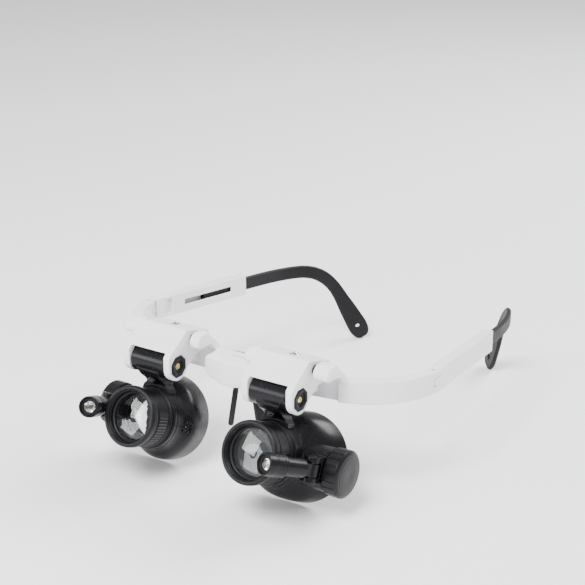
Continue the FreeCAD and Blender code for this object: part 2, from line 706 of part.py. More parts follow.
def build_loupe(name, side):
    """The parts that tilt together: barrel and neck, body, eyecup, battery tube and their fittings."""
    half = dim.carriage_half - dim.ear_thick - dim.side_gap
    barrel = new_body("hinge_barrel")
    pad(barrel, "YZ_Plane", circle(dim.loupe_drop, 0, dim.barrel_radius), 2 * half, -half)
    neck = [
        (-dim.neck_half - 1.2, dim.loupe_drop - 3),
        (-dim.neck_half, dim.loupe_drop - 7),
        (-dim.neck_half - 2.6, dim.body_radius - 2.0),
        (dim.neck_half + 2.6, dim.body_radius - 2.0),
        (dim.neck_half, dim.loupe_drop - 7),
        (dim.neck_half + 1.2, dim.loupe_drop - 3),
    ]
    pad(barrel, "XY_Plane", neck, dim.neck_front - dim.neck_back, dim.neck_back)
    behind_grip = [
        (dim.body_front, dim.body_radius - 4),
        (dim.body_front, dim.body_radius + 1.4),
        (dim.neck_front + 0.2, dim.body_radius + 4.6),
        (dim.neck_front + 8, dim.body_radius + 4.6),
        (dim.neck_front + 8, dim.body_radius - 4),
    ]
    pocket(barrel, "YZ_Plane", [(up, forward) for forward, up in behind_grip], 40, both=True)
    behind_neck = [
        (dim.body_radius + 2.4, dim.neck_back - 1),
        (dim.loupe_drop + 1, dim.neck_back - 1),
        (dim.loupe_drop + 1, -dim.barrel_radius),
        (dim.loupe_drop - 3.4, -4.4),
        (dim.body_radius + 2.4, dim.neck_back + 1.4),
    ]
    pocket(barrel, "YZ_Plane", behind_neck, 40, both=True)
    pad(barrel, "YZ_Plane", circle(dim.loupe_drop, 0, dim.barrel_radius), 2 * half, -half)
    pocket(barrel, "XY_Plane", circle(0, 0, dim.body_radius), 12, dim.neck_back - 1)
    pocket(barrel, "YZ_Plane", circle(dim.loupe_drop, 0, dim.tilt_pin_radius + dim.running_gap),
           2 * half + 2, -half - 1)
    pocket(barrel, "XY_Plane", circle(0, dim.body_radius + 4.8, 1.2), 8, -1.6)
    on_loupe(keep(barrel, f"{name}_hinge_barrel"), side)
    screw = new_body("neck_screw")
    pad(screw, "XY_Plane", circle(0, dim.body_radius + 4.8, 1.18), 3.4, -1.55)
    on_loupe(keep(screw, f"{name}_neck_screw"), side)

    inside = dim.body_radius - dim.body_wall
    body = revolve("loupe_body", [
        (inside, dim.body_front),
        (inside, dim.body_back + 1.6),
        (dim.cell_bore - 1.6, dim.body_back + 1.2),
        (dim.cell_bore - 1.6, dim.body_back),
        (dim.body_radius, dim.body_back),
        (dim.body_radius, dim.body_front),
    ])
    on_loupe(keep(body, f"{name}_loupe_body"), side)
    build_eyecup(name, side)

    tube = new_body("battery_tube")
    centre = -dim.tube_back
    level = tube_level(side)
    tube_start = 4 if side > 0 else -dim.tube_end
    pad(tube, "YZ_Plane", circle(level, centre, dim.tube_radius), dim.tube_end - 4, tube_start)
    bracket_low, bracket_out = dim.lamp_pivot_out - 5.4, dim.lamp_pivot_out + 1.4
    bracket = [
        (side * bracket_low, centre + 2),
        (side * bracket_low, dim.lamp_pivot_front - 1.0),
        (side * dim.lamp_pivot_out - side * 2.4, dim.lamp_pivot_front + 2.1),
        (side * dim.lamp_pivot_out + side * 3.2, dim.lamp_pivot_front, -side * 3.2),
        (side * bracket_out, centre + 2),
    ]
    pad(tube, "XZ_Plane", bracket, 11, -level, both=True)
    cap_room_start = dim.tube_end if side > 0 else -dim.tube_end - 5.4
    pocket(tube, "YZ_Plane", circle(level, centre, dim.battery_cap_radius + 0.35), 5.4, cap_room_start)
    pad(tube, "YZ_Plane", circle(level, centre, dim.tube_spigot_radius), 5.4, cap_room_start)
    knuckle_space = circle(side * dim.lamp_pivot_out, dim.lamp_pivot_front, 3.9)
    pocket(tube, "XZ_Plane", knuckle_space, 6, -level, both=True)
    pocket(tube, "XZ_Plane", rectangle(side * (dim.lamp_pivot_out - 6), dim.lamp_pivot_front,
                                       side * (dim.lamp_pivot_out + 6), dim.lamp_pivot_front + 6), 6, -level,
           both=True)
    pocket(tube, "XZ_Plane", circle(side * dim.lamp_pivot_out, dim.lamp_pivot_front, dim.lamp_pin_radius), 14,
           -level, both=True)
    pocket(tube, "XY_Plane", circle(0, 0, dim.body_radius), -dim.body_back + 4, dim.body_back)
    loft(tube, "PartDesign::SubtractiveLoft", side, cup_rings(0))
    pocket(tube, "XY_Plane", circle(side * dim.cup_shift, 0, dim.cup_radius), 4, -dim.cup_depth - 4)
    chamber = dim.tube_end + 5.5 - dim.tube_floor
    pocket(tube, "YZ_Plane", circle(level, centre, dim.tube_bore_radius), chamber,
           dim.tube_floor if side > 0 else -dim.tube_end - 5.5)
    on_loupe(keep(tube, f"{name}_battery_tube"), side)

    cells = new_body("coin_cells")
    for start in (24.6, 26.3):
        low = start if side > 0 else -start - dim.coin_cell_thick
        disc = circle(level, centre, dim.coin_cell_radius)
        pad(cells, "YZ_Plane", disc, dim.coin_cell_thick, low)
    on_loupe(keep(cells, f"{name}_coin_cells"), side)
    pin = new_body("lamp_pin")
    pad(pin, "XZ_Plane", circle(side * dim.lamp_pivot_out, dim.lamp_pivot_front, dim.lamp_pin_radius), 11,
        -level, both=True)
    on_loupe(keep(pin, f"{name}_lamp_pin"), side)


def build_lens_cell(name, side):
    """The screw-in cell: grip ring, two lenses with a spacer between them and a retaining ring."""
    spigot = dim.body_radius - dim.body_wall - dim.running_gap
    rear_seat = dim.rear_lens_seat
    cell = revolve("lens_cell", [
        (dim.glass_radius - 1.4, rear_seat - 1),
        (spigot, rear_seat - 1),
        (spigot, dim.body_front + 0.3),
        (dim.grip_radius, dim.body_front + 0.3),
        (dim.grip_radius, 7.4),
        (dim.cell_radius, 8.2),
        (dim.cell_radius, dim.cell_front - 0.6),
        (dim.cell_radius - 0.6, dim.cell_front),
        (dim.cell_bore + 0.6, dim.cell_front),
        (dim.cell_bore, dim.cell_front - 0.8),
        (dim.cell_bore, rear_seat),
        (dim.glass_radius - 1.4, rear_seat),
    ])
    on_loupe(keep(cell, f"{name}_lens_cell"), side)
    front_seat = dim.front_lens_seat
    lenses = (("front_lens", front_seat, 1.2, 1.6), ("rear_lens", rear_seat, 1.2, 1.4))
    for label, low, thick, bulge in lenses:
        edge = dim.glass_radius
        crown = (edge * edge + bulge * bulge) / (2 * bulge)
        lens = revolve(label, [
            (0, low),
            (edge, low),
            (edge, low + thick),
            (0, low + thick + bulge, crown),
        ])
        on_loupe(keep(lens, f"{name}_{label}"), side)
    ring_outer = dim.cell_bore - 0.03
    ring_inner = dim.glass_radius - 0.9
    for label, low, high in (("spacer_ring", rear_seat + 1.22, front_seat - 0.02),
                             ("retaining_ring", front_seat + 1.22, front_seat + 2.4)):
        section = [(ring_inner, low + 0.26), (ring_outer, low), (ring_outer, high), (ring_inner, high)]
        ring = revolve(label, section)
        on_loupe(keep(ring, f"{name}_{label}"), side)


def build_battery_cap(name, side):
    """The knob that closes the battery tube and switches the lamp."""
    cap = new_body("battery_cap")
    level = tube_level(side)
    start = tube_face if side > 0 else -tube_face - dim.battery_cap_length
    pad(cap, "YZ_Plane", circle(level, -dim.tube_back, dim.battery_cap_radius), dim.battery_cap_length, start)
    bore_start = tube_face - 0.5 if side > 0 else -tube_face - 5.6
    bore_radius = dim.tube_spigot_radius + dim.running_gap
    pocket(cap, "YZ_Plane", circle(level, -dim.tube_back, bore_radius), 6.1, bore_start)
    on_loupe(keep(cap, f"{name}_battery_cap"), side)


# ---------------------------------------------------------------- lamp arms
def on_arm(thing, side, along, across=0, up=0):
    """Place a piece of the lamp arm: along the arm from its pivot, across it, and up the pivot."""
    turn = -side * dim.lamp_turn
    x = side * dim.lamp_pivot_out + across * cosine(turn) + along * sine(turn)
    z = dim.lamp_pivot_front - across * sine(turn) + along * cosine(turn)
    return place(thing, x, up + tube_level(side), z, V(0, 1, 0), turn)


def arm_cylinder(side, radius, length, along):
    made = doc.addObject("Part::Cylinder", "Cylinder")
    bind(made, Radius=radius, Height=length)
    return on_arm(made, side, size(along))


def build_lamp_arm(name, side):
    """The swinging arm with its round head, the LED in the head and the bezel round the LED."""
    level = tube_level(side)
    knuckle = cylinder(3.2, 5.4, side * dim.lamp_pivot_out, level - 2.7,
                       dim.lamp_pivot_front, "y")
    neck = doc.addObject("Part::Box", "Neck")
    bind(neck, Length=5.0, Width=5.4, Height=12)
    on_arm(neck, side, size(0), size(-2.5), -2.7)
    shoulder = arm_cylinder(side, 3.9, dim.lamp_reach - 12.0, 4.6)
    head_start = dim.lamp_reach - 8.6
    head = arm_cylinder(side, dim.lamp_head_radius, 8.6, head_start)
    bore = cylinder(dim.lamp_pin_radius + dim.running_gap, 8, side * dim.lamp_pivot_out, level - 4,
                    dim.lamp_pivot_front, "y")
    mouth = arm_cylinder(side, dim.lamp_head_radius - 0.9, 3.2, dim.lamp_reach - 3.0)
    arm = cut(fuse(knuckle, neck, shoulder, head), fuse(bore, mouth))
    on_loupe(keep(arm, f"{name}_lamp_arm"), side)
    ring = cut(arm_cylinder(side, dim.lamp_head_radius - 0.95, 2.4, dim.lamp_reach - 2.9),
               arm_cylinder(side, 2.55, 4, dim.lamp_reach - 3.5))
    on_loupe(keep(ring, f"{name}_lamp_bezel"), side)
    dome = doc.addObject("Part::Sphere", "Dome")
    bind(dome, Radius=2.5)
    on_arm(dome, side, dim.lamp_reach - 2.7)
    dome.Angle1 = 0
    led = fuse(arm_cylinder(side, 2.5, 0.4, dim.lamp_reach - 3.0), dome)
    on_loupe(keep(led, f"{name}_led"), side)


# ---------------------------------------------------------------- temples
def build_temple(name, side):
    """The hinge pin and the hollow sleeve that folds on it."""
    pin = cylinder(dim.hinge_pin_radius, dim.bar_height - 0.8, side * dim.hinge_half,
                   dim.axis_back + dim.hinge_back, dim.bar_bottom + 0.4)
    keep(pin, f"{name}_hinge_pin")
    sleeve = new_body("temple_sleeve")
    half = dim.sleeve_height / 2
    start = dim.knuckle_radius + dim.knuckle_gap
    drop = dim.sleeve_length * sine(dim.sleeve_slope) / cosine(dim.sleeve_slope)
    side_view = [
        (start, -half),
        (dim.sleeve_length, -half - drop),
        (dim.sleeve_length, half - drop),
        (start, half),
    ]
    pad(sleeve, "YZ_Plane", side_view, dim.sleeve_half * 2, both=True)
    tongue = dim.bar_height / 2 - dim.leaf_height - 0.2
    pad(sleeve, "XY_Plane", circle(0, 0, dim.knuckle_radius), 2 * tongue, -tongue)
    # the web keeps clear of the slot's inner wall as the temple folds
    web = rectangle(-side * dim.web_inner, 0, side * dim.knuckle_radius, start + 1)
    pad(sleeve, "XY_Plane", web, 2 * tongue, -tongue)
    pocket(sleeve, "XY_Plane", circle(0, 0, dim.hinge_pin_radius + dim.running_gap), 12, -6)
    slope = drop / dim.sleeve_length
    tall = dim.cavity_height / 2

    def sloped(low, high, half_tall):
        return [(low, -half_tall - slope * low), (high, -half_tall - slope * high),
                (high, half_tall - slope * high), (low, half_tall - slope * low)]

    cavity = sloped(dim.cavity_start, dim.sleeve_length + 1, tall)
    pocket(sleeve, "YZ_Plane", cavity, dim.cavity_thick, both=True)
    recesses = (
        (dim.slit_start, dim.slit_length, dim.slit_half, dim.slit_depth),
        (dim.window_start, dim.window_length, dim.window_half, dim.window_depth),
        (dim.slot_start, dim.slot_length, dim.slot_half, dim.window_depth),
    )
    for low, long, half_tall, depth in recesses:
        inner_face = dim.sleeve_skin if side < 0 else -depth - dim.sleeve_skin
        pocket(sleeve, "YZ_Plane", sloped(low, low + long, half_tall), depth, inner_face)
    on_temple(keep(sleeve, f"{name}_temple_sleeve"), side)


def smooth(step):
    """A gentle start and a gentle stop between 0 and 1."""
    step = min(max(step, 0.0), 1.0)
    return step * step * (3 - 2 * step)


def arm_path(side):
    """Stations along the temple arm: place, direction and plan normal, from the tongue to the tip."""
    slope = dim.sleeve_slope.value
    straight = dim.sleeve_length.value - dim.arm_start.value
    total = dim.arm_curve_length.value
    turn_start, turn_length = dim.arm_turn_start.value, dim.arm_turn_length.value
    dip_start, dip_length = dim.arm_dip_start.value, dim.arm_dip_length.value
    place_now = V(0, dim.arm_start.value, -dim.arm_start.value * math.tan(math.radians(slope)))
    stations = []
    length = -straight
    step = 0.5
    while length <= total + 1e-6:
        whole_turn = dim.arm_tip_turn.value - dim.sleeve_turn.value
        turned = whole_turn * smooth((length - turn_start) / turn_length)
        dipped = slope + (dim.arm_tip_slope.value - slope) * smooth((length - dip_start) / dip_length)
        turn, dip = math.radians(turned), math.radians(dipped)
        heading = V(-side * math.sin(turn), math.cos(turn), 0)
        direction = heading * math.cos(dip) - V(0, 0, math.sin(dip))
        stations.append((length, V(place_now), direction, V(heading.y, -heading.x, 0)))
        place_now += direction * step
        length += step
    return stations


def arm_section(station, tall, thick):
    """An eight-cornered section across the arm."""
    _, middle, direction, flat = station
    upright = flat.cross(direction).normalize()
    bevel = thick * 0.3
    half_tall, half_thick = tall / 2, thick / 2
    corners = [(half_thick, half_tall - bevel), (half_thick - bevel, half_tall)]
    corners += [(-x, z) for x, z in reversed(corners)]
    corners += [(-x, -z) for x, z in corners]
    points = [middle + flat * x + upright * z for x, z in corners]
    return Part.makePolygon(points + points[:1])


def build_temple_arm(name, side):
    """The flat arm: a straight tongue in the sleeve, then a hook behind the ear with a wide tip."""
    stations = arm_path(side)
    total = dim.arm_curve_length.value
    tall, tip = dim.arm_height.value, dim.arm_tip_height.value
    thick = dim.arm_thick.value
    sections = []
    start = stations[0][0]
    places = [start + 8.0 * step for step in range(5)] + [8.0 + 7.5 * step for step in range(12)]
    for at in places + [total - 5.0]:
        station = stations[round((at - start) * 2)]
        height = tall + (tip - tall) * smooth((at - total + 34) / 24)
        sections.append(arm_section(station, height, thick))
    for at, share in ((total - 2.0, 0.82), (total, 0.4)):
        sections.append(arm_section(stations[round((at - start) * 2)], tip * share, thick))
    arm = Part.makeLoft(sections, True, False)
    _, middle, direction, flat = stations[round((total - dim.cord_hole_inset.value - start) * 2)]
    hole = Part.makeCylinder(dim.cord_hole_radius.value, 8, middle - flat * 4, flat)
    on_temple(keep(solid_feature("temple_arm", arm.cut(hole)), f"{name}_temple_arm"), side)


# ---------------------------------------------------------------- the whole object
def build_all():
    build_front_frame()
    build_rods()
    build_nose_piece()
    for name, side in SIDES:
        build_carriage(name, side)
        build_loupe(name, side)
        build_lens_cell(name, side)
        build_battery_cap(name, side)
        build_lamp_arm(name, side)
        build_temple(name, side)
        build_temple_arm(name, side)
    doc.recompute()


def check_document():
    """Stop if any object failed or any sub-part is empty or invalid."""
    for thing in doc.Objects:
        if "Invalid" in thing.State or "Error" in thing.State:
            raise RuntimeError(f"{thing.Label} ({thing.Name}) failed: {thing.State}")
    for node in nodes:
        shape = node.Shape
        if shape.isNull() or not shape.isValid() or shape.Volume <= 0:
            raise RuntimeError(f"{node.Label} has no valid shape")


def export():
    os.makedirs("parts", exist_ok=True)
    box = FreeCAD.BoundBox()
    for node in nodes:
        node.Shape.exportStep(os.path.join("parts", f"{node.Label}.step"))
        box.add(node.Shape.BoundBox)
        print(f"{node.Label}: {node.Shape.Volume:.1f} mm3, {len(node.Shape.Solids)} solid(s)")
    print(f"{len(nodes)} sub-parts, box {box}")


build_all()
check_document()
export()
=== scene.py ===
import json
import math

import bmesh
import bpy
from mathutils import Matrix, Vector


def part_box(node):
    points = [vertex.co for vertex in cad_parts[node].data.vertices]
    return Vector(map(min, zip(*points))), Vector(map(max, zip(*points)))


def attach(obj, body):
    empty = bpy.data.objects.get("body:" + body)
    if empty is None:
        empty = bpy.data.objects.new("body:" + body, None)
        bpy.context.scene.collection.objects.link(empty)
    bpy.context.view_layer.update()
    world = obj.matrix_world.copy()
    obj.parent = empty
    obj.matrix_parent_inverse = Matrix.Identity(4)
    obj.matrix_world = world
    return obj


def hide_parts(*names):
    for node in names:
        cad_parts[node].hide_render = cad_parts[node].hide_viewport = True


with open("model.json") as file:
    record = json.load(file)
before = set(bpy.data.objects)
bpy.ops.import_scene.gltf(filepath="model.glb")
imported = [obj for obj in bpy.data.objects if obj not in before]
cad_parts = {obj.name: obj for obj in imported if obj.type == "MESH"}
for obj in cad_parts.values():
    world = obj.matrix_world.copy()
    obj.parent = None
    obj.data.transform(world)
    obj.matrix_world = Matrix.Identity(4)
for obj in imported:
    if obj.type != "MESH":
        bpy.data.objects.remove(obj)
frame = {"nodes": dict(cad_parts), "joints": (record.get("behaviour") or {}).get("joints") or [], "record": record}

MM = 0.001
SIDES = (("left", 1), ("right", -1))
X, Y, Z = Vector((1, 0, 0)), Vector((0, 1, 0)), Vector((0, 0, 1))
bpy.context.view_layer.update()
joints = {joint["name"]: joint for joint in frame["joints"]}


# ---------------------------------------------------------------- camera, light and floor
CAMERA_ACROSS, CAMERA_AHEAD, CAMERA_HEIGHT = 0.3325, 0.4357, 0.2876     # m, ahead of the tilt axis
CAMERA_AZIMUTH, CAMERA_ELEVATION = 33.8, 19.7


def look(azimuth, elevation):
    """The rotation of a camera that looks from that azimuth and elevation, with no roll."""
    a, e = math.radians(azimuth), math.radians(elevation)
    right = Vector((math.cos(a), math.sin(a), 0))
    back = Vector((math.sin(a) * math.cos(e), -math.cos(a) * math.cos(e), math.sin(e)))
    return Matrix((right, back.cross(right), back)).transposed()


def make_camera():
    """The camera ahead of the wearer's left side, slightly above the part."""
    camera = bpy.data.objects.new("camera", bpy.data.cameras.new("camera"))
    bpy.context.collection.objects.link(camera)
    camera.data.lens = 85.0
    camera.data.sensor_width = 36.0
    camera.data.clip_start = 0.01
    tilt_axis = Vector(joints["left_loupe_tilt"]["pos_m"])
    camera.location = Vector((CAMERA_ACROSS, tilt_axis.y - CAMERA_AHEAD, CAMERA_HEIGHT))
    camera.rotation_euler = look(CAMERA_AZIMUTH, CAMERA_ELEVATION).to_euler()
    bpy.context.scene.camera = camera


def area_light(name, place, target, width, height, power, colour=(1, 1, 1)):
    """A rectangular lamp at the place, turned to face the target."""
    light = bpy.data.lights.new(name, "AREA")
    light.shape = "RECTANGLE"
    light.size, light.size_y = width, height
    light.energy = power
    light.color = colour
    lamp = bpy.data.objects.new(name, light)
    bpy.context.collection.objects.link(lamp)
    lamp.location = place
    lamp.rotation_euler = (Vector(target) - Vector(place)).to_track_quat("-Z", "Y").to_euler()


def make_studio():
    """A white room with three soft lamps and a white floor."""
    world = bpy.data.worlds.new("studio")
    world.use_nodes = True
    background = world.node_tree.nodes["Background"]
    background.inputs["Color"].default_value = (1.0, 1.0, 1.0, 1)
    background.inputs["Strength"].default_value = 0.8
    bpy.context.scene.world = world
    middle = (0, -0.03, 0.03)
    area_light("key_light", (0.10, -0.75, 0.95), middle, width=0.45, height=0.45, power=24.0,
               colour=(1.0, 0.99, 0.98))
    area_light("front_light", (-0.62, -0.93, 0.42), middle, width=0.44, height=0.40, power=6.5,
               colour=(0.97, 0.98, 1.0))
    area_light("back_light", (0.4, 0.9, 0.9), middle, width=0.8, height=0.5, power=22.0)
    bm = bmesh.new()
    bmesh.ops.create_grid(bm, x_segments=1, y_segments=1, size=6.0)
    floor = bpy.data.objects.new("floor", bpy.data.meshes.new("floor"))
    bm.to_mesh(floor.data)
    bm.free()
    bpy.context.collection.objects.link(floor)
    floor.data.materials.append(plain("floor_paint", colour=(0.96, 0.96, 0.965), roughness=0.85))


# ---------------------------------------------------------------- materials
def plain(name, colour, roughness):
    """An even, matt paint."""
    material = bpy.data.materials.new(name)
    material.use_nodes = True
    shader = material.node_tree.nodes["Principled BSDF"]
    shader.inputs["Base Color"].default_value = (*colour, 1)
    shader.inputs["Roughness"].default_value = roughness
    return material


def moulded(name, dark, light, rough, grain, depth=0.00002, gloss=0.5, metal=0.0, ior=1.5):
    """Plastic or metal whose colour and roughness drift within their pairs, with a fine grain in its bump."""
    material = bpy.data.materials.new(name)
    material.use_nodes = True
    nodes, links = material.node_tree.nodes, material.node_tree.links
    shader = nodes["Principled BSDF"]
    shader.inputs["Metallic"].default_value = metal
    shader.inputs["Specular IOR Level"].default_value = gloss
    shader.inputs["IOR"].default_value = ior
    where = nodes.new("ShaderNodeTexCoord")
    drift = nodes.new("ShaderNodeTexNoise")
    drift.inputs["Scale"].default_value = 60.0
    drift.inputs["Detail"].default_value = 4.0
    links.new(where.outputs["Object"], drift.inputs["Vector"])
    tint = nodes.new("ShaderNodeValToRGB")
    tint.color_ramp.elements[0].position = 0.3
    tint.color_ramp.elements[0].color = (*dark, 1)
    tint.color_ramp.elements[1].position = 0.7
    tint.color_ramp.elements[1].color = (*light, 1)
    links.new(drift.outputs["Fac"], tint.inputs["Fac"])
    links.new(tint.outputs["Color"], shader.inputs["Base Color"])
    shine = nodes.new("ShaderNodeMapRange")
    shine.inputs["From Min"].default_value = 0.3
    shine.inputs["From Max"].default_value = 0.7
    shine.inputs["To Min"].default_value = rough[0]
    shine.inputs["To Max"].default_value = rough[1]
    links.new(drift.outputs["Fac"], shine.inputs["Value"])
    links.new(shine.outputs["Result"], shader.inputs["Roughness"])
    fine = nodes.new("ShaderNodeTexNoise")
    fine.inputs["Scale"].default_value = grain
    fine.inputs["Detail"].default_value = 3.0
    links.new(where.outputs["Object"], fine.inputs["Vector"])
    bump = nodes.new("ShaderNodeBump")
    bump.inputs["Strength"].default_value = 0.35
    bump.inputs["Distance"].default_value = depth
    links.new(fine.outputs["Fac"], bump.inputs["Height"])
    links.new(bump.outputs["Normal"], shader.inputs["Normal"])
    return material


def clear(name, tint, ior, roughness, smear):
    """Clear glass or resin with a trace of haze where it has been wiped."""
    material = bpy.data.materials.new(name)
    material.use_nodes = True
    nodes, links = material.node_tree.nodes, material.node_tree.links
    shader = nodes["Principled BSDF"]
    shader.inputs["Base Color"].default_value = (*tint, 1)
    shader.inputs["Transmission Weight"].default_value = 1.0
    shader.inputs["IOR"].default_value = ior
    where = nodes.new("ShaderNodeTexCoord")
    haze = nodes.new("ShaderNodeTexNoise")
    haze.inputs["Scale"].default_value = 90.0
    links.new(where.outputs["Object"], haze.inputs["Vector"])
    spread = nodes.new("ShaderNodeMapRange")
    spread.inputs["From Min"].default_value = 0.4
    spread.inputs["From Max"].default_value = 0.8
    spread.inputs["To Min"].default_value = roughness
    spread.inputs["To Max"].default_value = roughness + smear
    links.new(haze.outputs["Fac"], spread.inputs["Value"])
    links.new(spread.outputs["Result"], shader.inputs["Roughness"])
    return material


white = moulded("white_abs", (0.82, 0.825, 0.85), (0.87, 0.875, 0.895), (0.32, 0.40), 2600, gloss=0.4)
black = moulded("black_abs", (0.004, 0.004, 0.005), (0.007, 0.007, 0.009), (0.22, 0.30), 3200,
                gloss=0.4, ior=1.3)
matte = moulded("black_matte", (0.006, 0.006, 0.007), (0.011, 0.011, 0.013), (0.42, 0.54), 3800,
                depth=0.00005, gloss=0.35, ior=1.3)
grip = moulded("black_grip", (0.005, 0.005, 0.006), (0.009, 0.009, 0.011), (0.30, 0.40), 3600,
               depth=0.00004, gloss=0.4, ior=1.3)
rubber = moulded("soft_pad", (0.009, 0.009, 0.010), (0.015, 0.015, 0.017), (0.58, 0.72), 2200,
                 depth=0.00008, gloss=0.3)
steel = moulded("screw_steel", (0.60, 0.60, 0.61), (0.72, 0.72, 0.73), (0.14, 0.26), 1800, metal=1.0)
blued = moulded("blued_steel", (0.030, 0.030, 0.033), (0.050, 0.050, 0.055), (0.20, 0.32), 1800, metal=1.0)
silvered = moulded("silvered_cup", (0.10, 0.095, 0.085), (0.30, 0.27, 0.22), (0.16, 0.30), 1500, metal=1.0)
brass = moulded("pin_brass", (0.62, 0.42, 0.18), (0.82, 0.60, 0.28), (0.20, 0.32), 1800, metal=1.0)
rod_black = moulded("rod_black", (0.010, 0.010, 0.012), (0.020, 0.020, 0.023), (0.25, 0.38), 2000, gloss=0.35)
cell_steel = moulded("cell_steel", (0.55, 0.55, 0.56), (0.68, 0.68, 0.69), (0.22, 0.34), 1500, metal=1.0)
lens_glass = clear("lens_glass", (0.90, 0.93, 0.95), 1.55, 0.0, 0.01)
led_resin = clear("led_clear", (0.98, 0.97, 0.93), 1.5, 0.02, 0.04)
SLOT_MATERIALS = {
    "white_abs": white, "black_abs": black, "black_matte": matte, "soft_pad": rubber,
    "lens_glass": lens_glass, "led_clear": led_resin, "screw_steel": steel, "pin_brass": brass,
    "rod_black": rod_black, "cell_steel": cell_steel,
}
node_slots = {entry["node"]: entry["material_slot"] for entry in frame["record"]["subparts"]}
bodies = frame["record"]["behaviour"]["bodies"]
body_of_node = {node: body for body, names in bodies.items() for node in names}


def paint_nodes():
    """Gives each CAD node that stays visible the material of its slot."""
    for node, obj in frame["nodes"].items():
        obj.data.materials.clear()
        obj.data.materials.append(SLOT_MATERIALS[node_slots[node]])


# ---------------------------------------------------------------- mesh helpers
SMOOTHING = 0.5         # how far one round of smoothing moves a vertex
ARC_STEPS = 4           # straight steps in a rounded corner
EDGE_SHARE = 0.45       # the most of an edge that one corner's arc may use
WELD = 1e-3             # mm between vertices of a CAD mesh that are one
ON_AXIS = 1e-4          # mm from the axis at which a profile's point is on it


def piece(name, mesh, node, material=None, replaced=()):
    """A finished piece that rides on the node's body and takes its finish, and stands for CAD nodes."""
    obj = bpy.data.objects.new(name, mesh)
    bpy.context.collection.objects.link(obj)
    mesh.materials.clear()
    mesh.materials.append(material or SLOT_MATERIALS[node_slots[node]])
    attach(obj, body_of_node[node])
    if replaced:
        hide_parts(*replaced)
    return obj


def to_mesh(bm, name, matrix=None, sharp=40.0):
    """The bmesh as a smooth-shaded mesh with its sharp edges marked, moved by the matrix, from mm to m."""
    if matrix is not None:
        bm.transform(matrix)
    bm.normal_update()
    bmesh.ops.recalc_face_normals(bm, faces=bm.faces)
    if bm.calc_volume(signed=True) < 0:
        bmesh.ops.reverse_faces(bm, faces=bm.faces)
    bm.normal_update()
    limit = math.radians(sharp)
    for edge in bm.edges:
        edge.smooth = not (len(edge.link_faces) == 2 and edge.calc_face_angle(0) > limit)
    for face in bm.faces:
        face.smooth = True
    bm.transform(Matrix.Scale(MM, 4))
    mesh = bpy.data.meshes.new(name)
    bm.to_mesh(mesh)
    bm.free()
    return mesh


def baked(obj):
    """The object's mesh with its modifiers applied; the object itself is removed."""
    graph = bpy.context.evaluated_depsgraph_get()
    graph.update()
    mesh = bpy.data.meshes.new_from_object(obj.evaluated_get(graph))
    bpy.data.objects.remove(obj)
    return mesh


def scratch(mesh):
    """A working object for the mesh, to be baked or removed."""
    obj = bpy.data.objects.new("scratch", mesh)
    bpy.context.collection.objects.link(obj)
    return obj


def smooth_shaded(mesh):
    """The mesh with every face shaded smooth."""
    for face in mesh.polygons:
        face.use_smooth = True
    return mesh


def carve(mesh, cutters, operation="DIFFERENCE"):
    """The mesh after a boolean with each cutter mesh, worked in mm so that small cuts hold."""
    mesh.transform(Matrix.Scale(1 / MM, 4))
    for cutter in cutters:
        cutter.transform(Matrix.Scale(1 / MM, 4))
        base, tool = scratch(mesh), scratch(cutter)
        step = base.modifiers.new("Carve", "BOOLEAN")
        step.operation = operation
        step.solver = "MANIFOLD"
        step.object = tool
        mesh = baked(base)
        bpy.data.objects.remove(tool)
    mesh.transform(Matrix.Scale(MM, 4))
    return mesh


def softened(mesh, voxel, rounds):
    """The closed mesh remeshed evenly and smoothed, so that every edge gets a small moulded radius."""
    obj = scratch(mesh)
    even = obj.modifiers.new("Even", "REMESH")
    even.mode = "VOXEL"
    even.voxel_size = voxel * MM
    ease = obj.modifiers.new("Ease", "SMOOTH")
    ease.factor = SMOOTHING
    ease.iterations = rounds
    return smooth_shaded(baked(obj))


def node_mesh(node):
    """A copy of the CAD node's mesh with its seams welded, in metres."""
    bm = bmesh.new()
    bm.from_mesh(frame["nodes"][node].data)
    bm.transform(Matrix.Scale(1 / MM, 4))
    bmesh.ops.remove_doubles(bm, verts=bm.verts, dist=WELD)
    bm.transform(Matrix.Scale(MM, 4))
    mesh = bpy.data.meshes.new(node)
    bm.to_mesh(mesh)
    bm.free()
    return mesh


def rounded(corners, radius):
    """A closed profile with a small arc at each corner, of the corner's own radius or the common one."""
    points = []
    count = len(corners)
    for index, corner in enumerate(corners):
        here = Vector(corner[:2])
        before = Vector(corners[index - 1][:2]) - here
        after = Vector(corners[(index + 1) % count][:2]) - here
        reach = min(corner[2] if len(corner) > 2 else radius, before.length * EDGE_SHARE,
                    after.length * EDGE_SHARE)
        start, end = here + before.normalized() * reach, here + after.normalized() * reach
        for step in range(ARC_STEPS + 1):
            t = step / ARC_STEPS
            points.append(start * (1 - t) ** 2 + here * (2 * t * (1 - t)) + end * t ** 2)
    return points


def lathe(name, corners, radius=0.25, segments=120, matrix=None, swell=None):
    """A ring or disc turned about its own Z axis from (radius, height) corners, listed once round."""
    bm = bmesh.new()
    profile = rounded(corners, radius)
    rows = []
    for point in profile:
        if point.x < ON_AXIS:
            rows.append([bm.verts.new((0, 0, point.y))])
            continue
        row = []
        for step in range(segments):
            angle = 2 * math.pi * step / segments
            r = point.x + (swell(point.x, point.y, angle) if swell else 0)
            row.append(bm.verts.new((r * math.cos(angle), r * math.sin(angle), point.y)))
        rows.append(row)
    for one, two in zip(rows, rows[1:] + rows[:1]):
        if len(one) == 1 and len(two) == 1:
            continue
        for step in range(segments):
            following = (step + 1) % segments
            if len(one) == 1:
                bm.faces.new((one[0], two[step], two[following]))
            elif len(two) == 1:
                bm.faces.new((one[step], two[0], one[following]))
            else:
                bm.faces.new((one[step], two[step], two[following], one[following]))
    bmesh.ops.remove_doubles(bm, verts=bm.verts, dist=1e-5)
    return to_mesh(bm, name, matrix)


